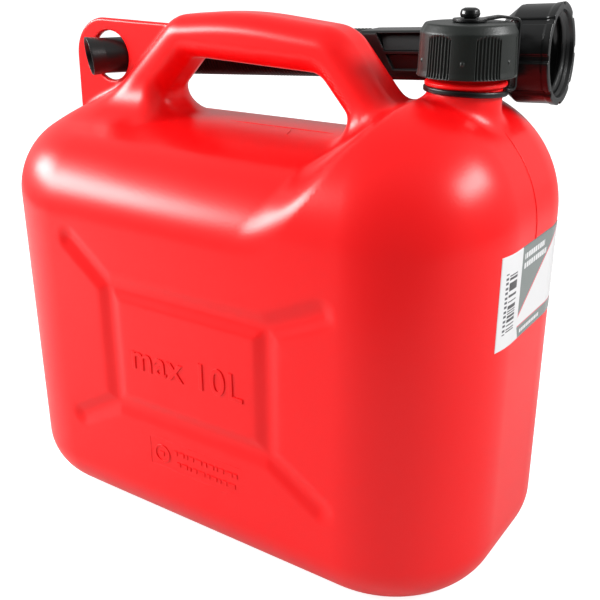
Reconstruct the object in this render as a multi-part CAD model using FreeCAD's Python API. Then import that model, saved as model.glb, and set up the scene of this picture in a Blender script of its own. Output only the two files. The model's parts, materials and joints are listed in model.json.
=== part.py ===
import FreeCAD, Part
import math
import os
from FreeCAD import Placement, Rotation, Vector

# A ten litre safety can with a stowed pouring spout, in millimetres.
# Origin: centre of the underside. +X runs to the filler end, -Y is the panelled front, +Z is up.

# ---- tank body ----
TANK_LENGTH = 315.0
TANK_WIDTH = 168.4
SHOULDER_HEIGHT = 231.0      # flat top under the handle
DOME_HEIGHT = 260.5          # top of the dome that carries the filler
CORNER_RADIUS = 63.0         # upright corners, in plan
BOTTOM_EDGE_RADIUS = 31.0
SHOULDER_EDGE_RADIUS = 33.0
DOME_EDGE_RADIUS = 61.0
DOME_RAMP_FOOT = 36.0        # x where the ramp onto the dome leaves the ramp base height
DOME_RAMP_RUN = 46.0
DOME_RAMP_BASE = 190.0
WALL = 2.4                   # blow-moulded wall

# ---- stiffening panel on each long side ----
PANEL_LEFT = -53.0
PANEL_RIGHT = 55.0
PANEL_BOTTOM = 80.0
PANEL_TOP = 153.0
PANEL_ARM_REACH = 29.0       # how far each diagonal arm runs past its corner, along X
PANEL_ARM_RISE = 18.0        # and along Z
PANEL_GROOVE_WIDTH = 10.0
PANEL_GROOVE_DEPTH = 2.0
GROOVE_OVERCUT = 1.0         # how far the cutting solids stand out of the wall

# ---- handle and spout flange ----
HANDLE_WIDTH = 34.0
HANDLE_TOP = 294.0           # crown of the slightly arched grip
HANDLE_THICKNESS = 25.5      # of the grip bar, measured up and down
HANDLE_EDGE_RADIUS = 11.5
HANDLE_ROOT_DEPTH = 60.0     # how far the handle's solid reaches down into the body
HANDLE_LEFT_FOOT = -118.0    # where the outer line of the left leg meets the shoulder
HANDLE_RIGHT_FOOT = 112.0
FLANGE_THICKNESS = 4.0
FLANGE_LEFT = -149.0
FLANGE_TOP = 287.5
FLANGE_CORNER_RADIUS = 24.0
STOW_HOLE_X = -120.5
STOW_HOLE_Z = 264.8
STOW_HOLE_DIAMETER = 29.4

# ---- filler neck, shared by the cap and the spout nut ----
NECK_X = 115.7
NECK_OUTER = 34.4            # root of the male thread
NECK_WALL = 2.7
NECK_BORE = NECK_OUTER - 2 * NECK_WALL
THREAD_DEPTH = 1.6
THREAD_PITCH = 5.0
THREAD_TURNS = 1.5
THREAD_CLEARANCE = 0.3       # all round, between the male and female threads
NECK_TOP = 288.0
NECK_BEAD_DIAMETER = NECK_OUTER + 5.2
NECK_BEAD_Z = 265.4
NECK_BEAD_THICKNESS = 2.0
NECK_BASE_STEP = 0.6         # how much wider the neck is below the bead

# ---- cap ----
CAP_BOTTOM = 270.0
CAP_BOTTOM_DIAMETER = NECK_OUTER + 13.0
CAP_TOP_DIAMETER = NECK_OUTER + 8.2
CAP_TOP_THICKNESS = 4.4
CAP_RIB_GROUPS = 6
CAP_RIBS_PER_GROUP = 7
CAP_RIB_PITCH_DEG = 4.0
CAP_RIB_PROUD = 0.8
LINER_THICKNESS = 1.6
LINER_CLEARANCE = 0.4

# ---- leash and its button ----
LEASH_RING_THICKNESS = 2.8
LEASH_RING_DIAMETER = NECK_BEAD_DIAMETER + 1.0
LEASH_RING_GAP = 0.4         # below the bead and round the neck
LEASH_STRAP_WIDTH = 5.0
LEASH_STRAP_THICKNESS = 1.4
LEASH_STRAP_GAP = 0.9        # between the strap and the cap's skirt
LEASH_AZIMUTH = 52.0
EYELET_DIAMETER = 16.0
EYELET_THICKNESS = 1.6
EYELET_GAP = 0.3
BUTTON_DIAMETER = 9.6
BUTTON_HEAD_HEIGHT = 4.4
BUTTON_STEM_DIAMETER = 5.0
BUTTON_BARB_DIAMETER = 6.4
BUTTON_FIT = 0.08            # radial running clearance in the cap
BUTTON_SOCKET_DEPTH = 6.0

# ---- spout ----
NUT_DIAMETER = NECK_OUTER + 16.2
NUT_CAP_GAP = 1.0            # sideways, between the nut and the cap
NUT_MOUTH = Vector(145.0, NUT_DIAMETER / 2 + CAP_BOTTOM_DIAMETER / 2 + NUT_CAP_GAP, 276.5)
NUT_LOBE_DEPTH = 1.0
NUT_LOBES = 8
NUT_LOBE_RADIUS = 9.0
NUT_LENGTH = 28.0
NUT_SKIRT_DEPTH = 16.0       # threaded length in front of the gasket
NUT_CHAMFER_LENGTH = 8.0
NUT_CHAMFER_DIAMETER = 36.0
GASKET_THICKNESS = 2.0
GASKET_BORE = NECK_BORE - 2.6
SPOUT_FLANGE_DIAMETER = NECK_OUTER + 2.0
SPOUT_FLANGE_THICKNESS = 3.0
SPOUT_TUBE_DIAMETER = 28.0
SPOUT_TUBE_BORE = 20.0
SPOUT_BOX_LENGTH = 78.0
SPOUT_BOX_HEIGHT = 26.0
SPOUT_BOX_DEPTH = 27.0
SPOUT_BOX_EDGE = 3.0
SPOUT_POCKET_DEPTH = 2.0
SPIN_CLEARANCE = 0.3         # between the nut and the spout base
HOSE_DIAMETER = 27.0
HOSE_BORE = 19.0
SPIGOT_WALL = 1.2
HOSE_BEND_RADIUS = 45.0
HOSE_OVERLAP = 12.0          # length pushed over each spigot
HOSE_AXIS_Y = 36.0           # behind the handle
NOZZLE_DIAMETER = 21.4
NOZZLE_BORE = HOSE_BORE - 2 * SPIGOT_WALL
NOZZLE_REACH = 16.0          # of the tip in front of the flange, along the nozzle
NOZZLE_LENGTH = 36.0
NOZZLE_ANGLE = 56.0          # between the nozzle and the flange

# ---- label ----
LABEL_BOTTOM = 147.0
LABEL_HEIGHT = 48.0
LABEL_WRAP_DEG = 14.6        # how far it runs round each upright corner
LABEL_THICKNESS = 0.3


def save(name, shape):
    """Write one sub-part, after checking that it is whole."""
    if not shape.isValid():
        raise RuntimeError(name + " is not a valid solid")
    shape.exportStep("parts/" + name + ".step")
    print(name, round(shape.Volume), "mm3,", len(shape.Solids), "solid")


def cylinder(radius, start, end):
    """A cylinder from one point to another."""
    axis = end.sub(start)
    return Part.makeCylinder(radius, axis.Length, start, axis)


def revolved(points, axis=Vector(0, 0, 1)):
    """Turn a closed outline of (radius, height) points about an axis through the origin."""
    if axis.x:
        corners = [Vector(h, r, 0) for r, h in points]
    else:
        corners = [Vector(r, 0, h) for r, h in points]
    face = Part.Face(Part.makePolygon(corners + corners[:1]))
    return face.revolve(Vector(0, 0, 0), axis, 360)


def rounded_outline(corners):
    """A closed wire in the XZ plane from (x, z, radius) corners."""
    edges = []
    ends = []
    count = len(corners)
    for i, (x, z, radius) in enumerate(corners):
        here = Vector(x, 0, z)
        before = Vector(corners[i - 1][0], 0, corners[i - 1][1]).sub(here).normalize()
        after = Vector(corners[(i + 1) % count][0], 0, corners[(i + 1) % count][1]).sub(here).normalize()
        half = math.acos(max(-1.0, min(1.0, before.dot(after)))) / 2
        reach = radius / math.tan(half)
        middle = before.add(after).normalize().multiply(radius / math.sin(half) - radius)
        ends.append((here.add(before * reach), here.add(middle), here.add(after * reach)))
    for i, (start, middle, end) in enumerate(ends):
        edges.append(Part.Arc(start, middle, end).toShape())
        edges.append(Part.LineSegment(end, ends[(i + 1) % count][0]).toShape())
    return Part.Wire(Part.__sortEdges__(edges))


def slab(face, width):
    """Extrude an XZ face to a width that is centred on y = 0."""
    moved = face.copy()
    moved.translate(Vector(0, -width / 2, 0))
    return moved.extrude(Vector(0, width, 0))


def rounded_block(inset, height, top_radius):
    """The can's plan with rounded upright corners, rounded underside and rounded top."""
    length = TANK_LENGTH - 2 * inset
    width = TANK_WIDTH - 2 * inset
    block = Part.makeBox(length, width, height - 2 * inset, Vector(-length / 2, -width / 2, inset))
    upright = [e for e in block.Edges if abs(e.Vertexes[0].Point.z - e.Vertexes[1].Point.z) > 1]
    block = block.makeFillet(CORNER_RADIUS - inset, upright)
    low = [e for e in block.Edges if e.BoundBox.ZMax < inset + 0.01]
    block = block.makeFillet(BOTTOM_EDGE_RADIUS - inset, low)
    high = [e for e in block.Edges if e.BoundBox.ZMin > height - inset - 0.01]
    return block.makeFillet(top_radius - inset, high)


def ramp_side(inset):
    """Everything on the filler side of the slanted plane that climbs onto the dome."""
    slope = math.hypot(DOME_RAMP_RUN, DOME_HEIGHT - DOME_RAMP_BASE)
    shift = inset * slope / (DOME_HEIGHT - DOME_RAMP_BASE)
    foot = DOME_RAMP_FOOT + shift
    run = DOME_RAMP_RUN / (DOME_HEIGHT - DOME_RAMP_BASE)
    top = DOME_HEIGHT + 50.0
    far = TANK_LENGTH
    corners = [
        Vector(foot - DOME_RAMP_BASE * run, 0, 0), Vector(far, 0, 0), Vector(far, 0, top),
        Vector(foot + (top - DOME_RAMP_BASE) * run, 0, top),
    ]
    return slab(Part.Face(Part.makePolygon(corners + corners[:1])), 2 * TANK_WIDTH)


def tank_body(inset):
    """The closed body: a low shoulder under the handle and a tall dome under the filler."""
    low = rounded_block(inset, SHOULDER_HEIGHT, SHOULDER_EDGE_RADIUS)
    tall = rounded_block(inset, DOME_HEIGHT, DOME_EDGE_RADIUS)
    wedge = ramp_side(inset)
    return low.cut(wedge).fuse(tall.common(wedge)).removeSplitter()


def handle_outline():
    """Outer line of the handle with both legs, down into the body."""
    return [
        (HANDLE_LEFT_FOOT - 24.0, SHOULDER_HEIGHT - 14.0, 15.0),
        (-60.0, HANDLE_TOP - 2.5, 22.0),
        (-13.0, HANDLE_TOP + 1.2, 260.0),
        (50.0, HANDLE_TOP - 5.0, 24.0),
        (76.0, SHOULDER_HEIGHT + 27.5, 40.0),
        (HANDLE_RIGHT_FOOT, SHOULDER_HEIGHT - 2.0, 15.0),
        (HANDLE_RIGHT_FOOT - 20.0, SHOULDER_HEIGHT - HANDLE_ROOT_DEPTH, 15.0),
        (HANDLE_LEFT_FOOT + 10.0, SHOULDER_HEIGHT - HANDLE_ROOT_DEPTH, 15.0),
    ]


def opening_outline():
    """Line of the finger opening, run down into the body."""
    top = HANDLE_TOP - HANDLE_THICKNESS
    return [
        (-43.0, top, 8.0),
        (34.0, top - 3.5, 14.0),
        (51.0, SHOULDER_HEIGHT + 13.0, 10.0),
        (51.0, SHOULDER_HEIGHT - HANDLE_ROOT_DEPTH / 2, 5.0),
        (-40.0, SHOULDER_HEIGHT - HANDLE_ROOT_DEPTH / 2, 5.0),
        (-40.0, SHOULDER_HEIGHT - 6.0, 16.0),
        (-66.0, SHOULDER_HEIGHT + 14.0, 10.0),
    ]


def handle_body(inset):
    """The handle's tube as a solid, with its opening cut through and all long edges rounded."""
    outer = Part.Face(rounded_outline(handle_outline()))
    opening = Part.Face(rounded_outline(opening_outline()))
    if inset:
        outer = outer.makeOffset2D(-inset)
        opening = opening.makeOffset2D(inset)
    width = HANDLE_WIDTH - 2 * inset
    tube = slab(outer.cut(opening), width)
    long_edges = [e for e in tube.Edges if abs(abs(e.BoundBox.YMin) - width / 2) < 0.01
                  and e.BoundBox.YLength < 0.01]
    return tube.makeFillet(HANDLE_EDGE_RADIUS - inset, long_edges)


def spout_flange():
    """The flat web beside the handle with the hole that the nozzle is stowed in."""
    corners = [
        (FLANGE_LEFT - 3.0, SHOULDER_HEIGHT - 25.0, 4.0),
        (FLANGE_LEFT, FLANGE_TOP, FLANGE_CORNER_RADIUS),
        (-58.0, FLANGE_TOP - 2.0, 4.0),
        (HANDLE_LEFT_FOOT + 30.0, SHOULDER_HEIGHT - 25.0, 4.0),
    ]
    web = slab(Part.Face(rounded_outline(corners)), FLANGE_THICKNESS)
    hole = cylinder(STOW_HOLE_DIAMETER / 2, Vector(STOW_HOLE_X, -20, STOW_HOLE_Z),
                    Vector(STOW_HOLE_X, 20, STOW_HOLE_Z))
    return web.cut(hole)


def thread_ridge(root_radius, crest_radius, start_z):
    """One helical ridge about the Z axis; its root is sunk a little into the wall it grows from."""
    height = THREAD_PITCH * THREAD_TURNS
    outward = 1.0 if crest_radius > root_radius else -1.0
    sunk = root_radius - outward * 0.3
    helix = Part.makeHelix(THREAD_PITCH, height, root_radius)
    section = Part.makePolygon([
        Vector(sunk, 0, -1.1), Vector(crest_radius, 0, -0.5),
        Vector(crest_radius, 0, 0.5), Vector(sunk, 0, 1.1), Vector(sunk, 0, -1.1),
    ])
    ridge = Part.Wire(helix).makePipeShell([section], True, True)
    ridge.translate(Vector(0, 0, start_z))
    return ridge


def neck_radius_with_thread():
    return NECK_OUTER / 2 + THREAD_DEPTH


def female_root_radius():
    return neck_radius_with_thread() + THREAD_CLEARANCE


def neck_solid():
    """The threaded filler neck with its bead, before it is bored."""
    neck = cylinder(NECK_OUTER / 2, Vector(0, 0, DOME_HEIGHT - 12.0), Vector(0, 0, NECK_TOP))
    base = cylinder(NECK_OUTER / 2 + NECK_BASE_STEP, Vector(0, 0, DOME_HEIGHT - 12.0), Vector(0, 0, NECK_BEAD_Z))
    bead = cylinder(NECK_BEAD_DIAMETER / 2, Vector(0, 0, NECK_BEAD_Z),
                    Vector(0, 0, NECK_BEAD_Z + NECK_BEAD_THICKNESS))
    ridge_start = NECK_TOP - 2.5 - THREAD_PITCH * THREAD_TURNS
    ridge = thread_ridge(NECK_OUTER / 2, neck_radius_with_thread(), ridge_start)
    neck = neck.fuse([base, bead, ridge])
    neck.translate(Vector(NECK_X, 0, 0))
    return neck


def groove_run(side, start, end, extra):
    """One straight run of a groove in a long wall, with round ends; extra widens and deepens it."""
    width = PANEL_GROOVE_WIDTH + 2 * extra
    depth = PANEL_GROOVE_DEPTH + extra
    along = end.sub(start)
    reach = depth + GROOVE_OVERCUT
    bar = Part.makeBox(along.Length, reach, width, Vector(0, -reach / 2, -width / 2))
    bar.Placement = Placement(start, Rotation(Vector(1, 0, 0), along))
    pieces = [bar]
    for point in (start, end):
        low = point.sub(Vector(0, reach / 2, 0))
        pieces.append(cylinder(width / 2, low, low.add(Vector(0, reach, 0))))
    run = pieces[0].fuse(pieces[1:])
    run.translate(Vector(0, side * (TANK_WIDTH / 2 + GROOVE_OVERCUT - reach / 2), 0))
    return run


def side_panel(side, extra):
    """A rectangle with a diagonal arm from each corner, sunk in a long wall to stiffen it."""
    corners = [(PANEL_LEFT, PANEL_BOTTOM), (PANEL_RIGHT, PANEL_BOTTOM),
               (PANEL_RIGHT, PANEL_TOP), (PANEL_LEFT, PANEL_TOP)]
    points = [Vector(x, 0, z) for x, z in corners]
    runs = [groove_run(side, points[i - 1], points[i], extra) for i in range(4)]
    for point in points:
        outward = 1.0 if point.x == PANEL_RIGHT else -1.0
        lift = 1.0 if point.z == PANEL_TOP else -1.0
        tip = point.add(Vector(outward * PANEL_ARM_REACH, 0, lift * PANEL_ARM_RISE))
        runs.append(groove_run(side, point, tip, extra))
    return runs


def tank_shell():
    """The blow-moulded can: body, hollow handle, flange and filler neck in one skin."""
    outer = tank_body(0).cut(Part.makeCompound(side_panel(-1, 0) + side_panel(1, 0)))
    outer = outer.fuse([handle_body(0), spout_flange(), neck_solid()])
    inner = tank_body(WALL).cut(Part.makeCompound(side_panel(-1, WALL) + side_panel(1, WALL)))
    inner = inner.fuse(handle_body(WALL))
    bore = cylinder(NECK_BORE / 2, Vector(NECK_X, 0, DOME_HEIGHT - 20.0), Vector(NECK_X, 0, NECK_TOP + 1))
    return outer.cut(inner.fuse(bore))


def cap_rib(angle, z0, z1, r0, r1):
    """One upright grip rib on the cap's skirt."""
    rib = Part.makeBox(1.6, 0.9, z1 - z0, Vector(r0 - 0.8, -0.45, z0))
    lean = math.degrees(math.atan2(r0 - r1, z1 - z0))
    rib.rotate(Vector(r0, 0, z0), Vector(0, 1, 0), -lean)
    rib.rotate(Vector(0, 0, 0), Vector(0, 0, 1), angle)
    return rib


def cap_shell():
    """The screw cap: a tapered ribbed skirt, a female thread and a socket for the leash button."""
    inner = female_root_radius()
    ceiling = NECK_TOP + LINER_THICKNESS
    top = ceiling + CAP_TOP_THICKNESS
    bottom_radius = CAP_BOTTOM_DIAMETER / 2
    top_radius = CAP_TOP_DIAMETER / 2
    skin = revolved([
        (0, top), (top_radius - 2.5, top), (top_radius, top - 2.5), (bottom_radius, CAP_BOTTOM),
        (inner, CAP_BOTTOM), (inner, ceiling), (0, ceiling),
    ])
    ribs = []
    rib_top = top - 4.5
    drop = (bottom_radius - top_radius) / (top - 2.5 - CAP_BOTTOM)
    for group in range(CAP_RIB_GROUPS):
        for i in range(CAP_RIBS_PER_GROUP):
            turn = group * 360.0 / CAP_RIB_GROUPS + (i - (CAP_RIBS_PER_GROUP - 1) / 2) * CAP_RIB_PITCH_DEG
            upper = bottom_radius - drop * (rib_top - CAP_BOTTOM)
            ribs.append(cap_rib(turn, CAP_BOTTOM, rib_top, bottom_radius, upper))
    boss = cylinder(BUTTON_DIAMETER / 2, Vector(0, 0, top - BUTTON_SOCKET_DEPTH - 3.0), Vector(0, 0, top - 0.5))
    ridge_start = NECK_TOP - 2.5 - THREAD_PITCH * (THREAD_TURNS + 0.5)
    ridge = thread_ridge(inner, NECK_OUTER / 2 + THREAD_CLEARANCE, ridge_start)
    cap = skin.fuse(ribs + [boss, ridge])
    cap = cap.cut(button_stem(top, BUTTON_FIT))
    cap.translate(Vector(NECK_X, 0, 0))
    return cap


def cap_top():
    return NECK_TOP + LINER_THICKNESS + CAP_TOP_THICKNESS


def cap_liner():
    """The flat seal between the cap's ceiling and the neck's rim."""
    outer = female_root_radius() - LINER_CLEARANCE
    hole = BUTTON_DIAMETER / 2 + 2.0
    ring = revolved([(hole, NECK_TOP), (outer, NECK_TOP), (outer, NECK_TOP + LINER_THICKNESS),
                     (hole, NECK_TOP + LINER_THICKNESS)])
    ring.translate(Vector(NECK_X, 0, 0))
    return ring


def button_stem(top, spare):
    """Stem and snap barb about the Z axis; spare is the clearance added all round."""
    stem = BUTTON_STEM_DIAMETER / 2 + spare
    barb = BUTTON_BARB_DIAMETER / 2 + spare
    low = top - BUTTON_SOCKET_DEPTH
    return revolved([
        (0, top + 0.01), (stem, top + 0.01), (stem, low + 3.0 + spare), (barb, low + 2.6 + spare),
        (barb, low + 1.4 - spare), (stem - 0.6, low - spare), (0, low - spare),
    ])


def leash_button():
    """The snap-in button: a domed head over the eyelet and a barbed stem in the cap."""
    top = cap_top()
    under = top + EYELET_THICKNESS + 2 * EYELET_GAP
    radius = BUTTON_DIAMETER / 2
    stem = BUTTON_STEM_DIAMETER / 2
    head = revolved([
        (0, under), (radius - 0.8, under), (radius, under + 0.9), (radius, under + 2.2),
        (radius - 1.0, under + 3.6), (radius - 2.4, under + BUTTON_HEAD_HEIGHT - 0.3),
        (0, under + BUTTON_HEAD_HEIGHT),
    ])
    shank = cylinder(stem, Vector(0, 0, top), Vector(0, 0, under + 1.0))
    button = head.fuse([shank, button_stem(top, 0.0)])
    button.translate(Vector(NECK_X, 0, 0))
    return button


def leash():
    """Neck ring, upright strap and eyelet, moulded in one."""
    neck = NECK_OUTER / 2 + NECK_BASE_STEP
    ring_top = NECK_BEAD_Z - LEASH_RING_GAP
    ring_low = ring_top - LEASH_RING_THICKNESS
    ring = revolved([(neck + LEASH_RING_GAP, ring_low), (LEASH_RING_DIAMETER / 2, ring_low),
                     (LEASH_RING_DIAMETER / 2, ring_top), (neck + LEASH_RING_GAP, ring_top)])
    inside = CAP_BOTTOM_DIAMETER / 2 + CAP_RIB_PROUD + LEASH_STRAP_GAP
    outside = inside + LEASH_STRAP_THICKNESS
    eye_low = cap_top() + EYELET_GAP
    eye_top = eye_low + EYELET_THICKNESS
    half = LEASH_STRAP_WIDTH / 2
    lug = Part.makeBox(outside - neck - 1.5, LEASH_STRAP_WIDTH, LEASH_RING_THICKNESS,
                       Vector(neck + 1.5, -half, ring_low))
    strap = Part.makeBox(LEASH_STRAP_THICKNESS, LEASH_STRAP_WIDTH, eye_top - ring_low,
                         Vector(inside, -half, ring_low))
    eye = cylinder(EYELET_DIAMETER / 2, Vector(0, 0, eye_low), Vector(0, 0, eye_top))
    arm = Part.makeBox(outside, LEASH_STRAP_WIDTH, EYELET_THICKNESS, Vector(0, -half, eye_low))
    hole = cylinder(BUTTON_STEM_DIAMETER / 2 + EYELET_GAP, Vector(0, 0, eye_low - 1), Vector(0, 0, eye_top + 1))
    whole = ring.fuse([lug, strap, eye, arm]).cut(hole)
    whole.rotate(Vector(0, 0, 0), Vector(0, 0, 1), LEASH_AZIMUTH)
    whole.translate(Vector(NECK_X, 0, 0))
    return whole


def nozzle_direction():
    """Unit vector out of the nozzle's mouth."""
    turn = math.radians(NOZZLE_ANGLE)
    return Vector(-math.cos(turn), -math.sin(turn), 0)


def stow_centre():
    return Vector(STOW_HOLE_X, 0, STOW_HOLE_Z)


def elbow_point():
    """Where the nozzle's axis and the spout's axis cross, behind the handle."""
    back = HOSE_AXIS_Y / math.sin(math.radians(NOZZLE_ANGLE))
    return stow_centre().sub(nozzle_direction() * back)


def spout_axis():
    """Unit vector along the spout, from the elbow to the nut's mouth."""
    return NUT_MOUTH.sub(elbow_point()).normalize()


def placed(shape):
    """Move a piece built along X, with the nut's mouth at the origin, to its stowed place."""
    moved = shape.copy()
    moved.Placement = Placement(NUT_MOUTH, Rotation(Vector(1, 0, 0), spout_axis()))
    return moved


def spout_nut():
    """The ring nut that clamps the spout to the neck, with finger lobes."""
    radius = NUT_DIAMETER / 2 - NUT_LOBE_DEPTH
    inner = female_root_radius()
    back = -NUT_SKIRT_DEPTH - GASKET_THICKNESS - SPOUT_FLANGE_THICKNESS - SPIN_CLEARANCE
    hole = SPOUT_TUBE_DIAMETER / 2 + SPIN_CLEARANCE
    core = revolved([
        (0, 0), (radius, 0), (radius, -NUT_LENGTH + NUT_CHAMFER_LENGTH),
        (NUT_CHAMFER_DIAMETER / 2, -NUT_LENGTH), (0, -NUT_LENGTH),
    ], Vector(1, 0, 0))
    lobes = []
    for i in range(NUT_LOBES):
        lobe = cylinder(NUT_LOBE_RADIUS, Vector(-NUT_LENGTH + NUT_CHAMFER_LENGTH, 0, 0), Vector(0, 0, 0))
        lobe.translate(Vector(0, NUT_DIAMETER / 2 - NUT_LOBE_RADIUS, 0))
        lobe.rotate(Vector(0, 0, 0), Vector(1, 0, 0), (i + 0.5) * 360.0 / NUT_LOBES)
        lobes.append(lobe)
    bore = cylinder(inner, Vector(back, 0, 0), Vector(1, 0, 0))
    ridge = thread_ridge(inner, NECK_OUTER / 2 + THREAD_CLEARANCE, 0)
    ridge.rotate(Vector(0, 0, 0), Vector(0, 1, 0), 90)
    ridge.translate(Vector(-NUT_SKIRT_DEPTH + 3.0, 0, 0))
    tube_hole = cylinder(hole, Vector(-NUT_LENGTH - 1, 0, 0), Vector(1, 0, 0))
    return placed(core.fuse(lobes).cut(bore.fuse(tube_hole)).fuse(ridge))


def spout_gasket():
    """The flat ring that the neck's rim seals on."""
    outer = SPOUT_FLANGE_DIAMETER / 2
    face = -NUT_SKIRT_DEPTH
    return placed(revolved([
        (GASKET_BORE / 2, face), (outer, face), (outer, face - GASKET_THICKNESS),
        (GASKET_BORE / 2, face - GASKET_THICKNESS),
    ], Vector(1, 0, 0)))


def box_pocket(z0, z1, depth, side):
    """A shallow long recess in one side of the spout base, slanted at its far end."""
    x0 = -NUT_LENGTH - 6.0 - SPOUT_BOX_LENGTH
    edge = side * SPOUT_BOX_DEPTH / 2
    corners = [Vector(x0 + 12.0, 0, z0), Vector(-NUT_LENGTH - 12.0, 0, z0),
               Vector(-NUT_LENGTH - 12.0, 0, z1), Vector(x0 + 6.0, 0, z1)]
    face = Part.Face(Part.makePolygon(corners + corners[:1]))
    face.translate(Vector(0, edge - side * depth, 0))
    return face.extrude(Vector(0, side * (depth + 1), 0))


def spout_base():
    """The rigid part of the spout: clamping flange, neck tube, box body and hose spigot."""
    flange_face = -NUT_SKIRT_DEPTH - GASKET_THICKNESS
    flange = cylinder(SPOUT_FLANGE_DIAMETER / 2, Vector(flange_face - SPOUT_FLANGE_THICKNESS, 0, 0),
                      Vector(flange_face, 0, 0))
    box_right = -NUT_LENGTH - 2.0
    box_left = box_right - SPOUT_BOX_LENGTH
    tube = cylinder(SPOUT_TUBE_DIAMETER / 2, Vector(box_right - 1.0, 0, 0), Vector(flange_face - 1.0, 0, 0))
    box = Part.makeBox(SPOUT_BOX_LENGTH, SPOUT_BOX_DEPTH, SPOUT_BOX_HEIGHT,
                       Vector(box_left, -SPOUT_BOX_DEPTH / 2, -SPOUT_BOX_HEIGHT / 2))
    box = box.makeFillet(SPOUT_BOX_EDGE, [e for e in box.Edges if e.BoundBox.XLength > 1])
    pockets = []
    for side in (-1, 1):
        pockets.append(box_pocket(2.4, 11.2, SPOUT_POCKET_DEPTH, side))
        pockets.append(box_pocket(-7.2, 0.4, SPOUT_POCKET_DEPTH, side))
    spigot = cylinder(HOSE_BORE / 2, Vector(box_left - HOSE_OVERLAP, 0, 0), Vector(box_left + 1.0, 0, 0))
    bore = cylinder(SPOUT_TUBE_BORE / 2, Vector(box_left + 6.0, 0, 0), Vector(1, 0, 0))
    throat = cylinder(HOSE_BORE / 2 - 2.0, Vector(box_left - HOSE_OVERLAP - 1, 0, 0), Vector(box_left + 7.0, 0, 0))
    base = flange.fuse([tube, box.cut(Part.makeCompound(pockets)), spigot])
    return placed(base.cut(bore.fuse(throat)))


def box_end_point():
    """Where the hose meets the end face of the spout base."""
    return NUT_MOUTH.sub(spout_axis() * (NUT_LENGTH + 2.0 + SPOUT_BOX_LENGTH))


def hose_front_point():
    """Where the hose's front end sits on the nozzle."""
    return stow_centre().sub(nozzle_direction() * (NOZZLE_LENGTH - NOZZLE_REACH - HOSE_OVERLAP + 10.0))


def hose_path():
    """Straight behind the handle, then one arc towards the stowage hole."""
    forward = nozzle_direction()
    along = spout_axis()
    corner = elbow_point()
    turn = math.acos(along.dot(forward * -1.0))
    reach = HOSE_BEND_RADIUS * math.tan(turn / 2)
    start = corner.add(forward * reach)
    end = corner.add(along * reach)
    inward = forward.add(along).normalize()
    middle = corner.add(inward * (HOSE_BEND_RADIUS / math.cos(turn / 2) - HOSE_BEND_RADIUS))
    print("hose bend radius", HOSE_BEND_RADIUS, "reach", round(reach, 1), "start", start, "front", hose_front_point())
    return Part.Wire([
        Part.LineSegment(hose_front_point(), start).toShape(),
        Part.Arc(start, middle, end).toShape(),
        Part.LineSegment(end, box_end_point()).toShape(),
    ])


def spout_hose():
    """The corrugated flexible hose as a plain tube."""
    path = hose_path()

    def swept(radius):
        ring = Part.Wire(Part.makeCircle(radius, hose_front_point(), nozzle_direction()))
        return path.makePipeShell([ring], True, True)

    return swept(HOSE_DIAMETER / 2).cut(swept(HOSE_BORE / 2))


def spout_nozzle():
    """The rigid pouring tip: a tube with a slightly flared lip and a spigot in the hose."""
    forward = nozzle_direction()
    centre = stow_centre()
    tip = centre.add(forward * NOZZLE_REACH)
    front = hose_front_point()
    inside = front.sub(forward * HOSE_OVERLAP * 0.8)
    barrel = cylinder(NOZZLE_DIAMETER / 2, front, tip)
    spigot = cylinder(HOSE_BORE / 2, inside, front.add(forward * 1.0))
    bore = cylinder(NOZZLE_BORE / 2, inside.sub(forward * 1.0), tip.add(forward * 1.0))
    return barrel.fuse(spigot).cut(bore)


def label():
    """A thin label wrapped round the filler end of the body."""
    half_flat = TANK_WIDTH / 2 - CORNER_RADIUS
    centre_x = TANK_LENGTH / 2 - CORNER_RADIUS
    wrap = math.radians(LABEL_WRAP_DEG)

    def profile(radius):
        front = Vector(centre_x, -half_flat, 0)
        rear = Vector(centre_x, half_flat, 0)

        def spot(centre, angle):
            return centre.add(Vector(radius * math.cos(angle), radius * math.sin(angle), 0))

        first = Part.Arc(spot(front, -wrap), spot(front, -wrap / 2), spot(front, 0)).toShape()
        middle = Part.LineSegment(spot(front, 0), spot(rear, 0)).toShape()
        last = Part.Arc(spot(rear, 0), spot(rear, wrap / 2), spot(rear, wrap)).toShape()
        return [first, middle, last]

    inner = profile(CORNER_RADIUS)
    outer = profile(CORNER_RADIUS + LABEL_THICKNESS)
    ends = [Part.LineSegment(inner[0].Vertexes[0].Point, outer[0].Vertexes[0].Point).toShape(),
            Part.LineSegment(inner[2].Vertexes[-1].Point, outer[2].Vertexes[-1].Point).toShape()]
    ring = Part.Wire(Part.__sortEdges__(inner + outer + ends))
    face = Part.Face(ring)
    face.translate(Vector(0, 0, LABEL_BOTTOM))
    return face.extrude(Vector(0, 0, LABEL_HEIGHT))


PIECES = {
    "tank_shell": tank_shell,
    "cap_shell": cap_shell,
    "cap_liner": cap_liner,
    "leash": leash,
    "leash_button": leash_button,
    "spout_nut": spout_nut,
    "spout_gasket": spout_gasket,
    "spout_base": spout_base,
    "spout_hose": spout_hose,
    "spout_nozzle": spout_nozzle,
    "label": label,
}

os.makedirs("parts", exist_ok=True)
for piece, build in PIECES.items():
    save(piece, build())
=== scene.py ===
import json
import math

import bpy
import numpy as np
from mathutils import Matrix, Vector


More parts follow.
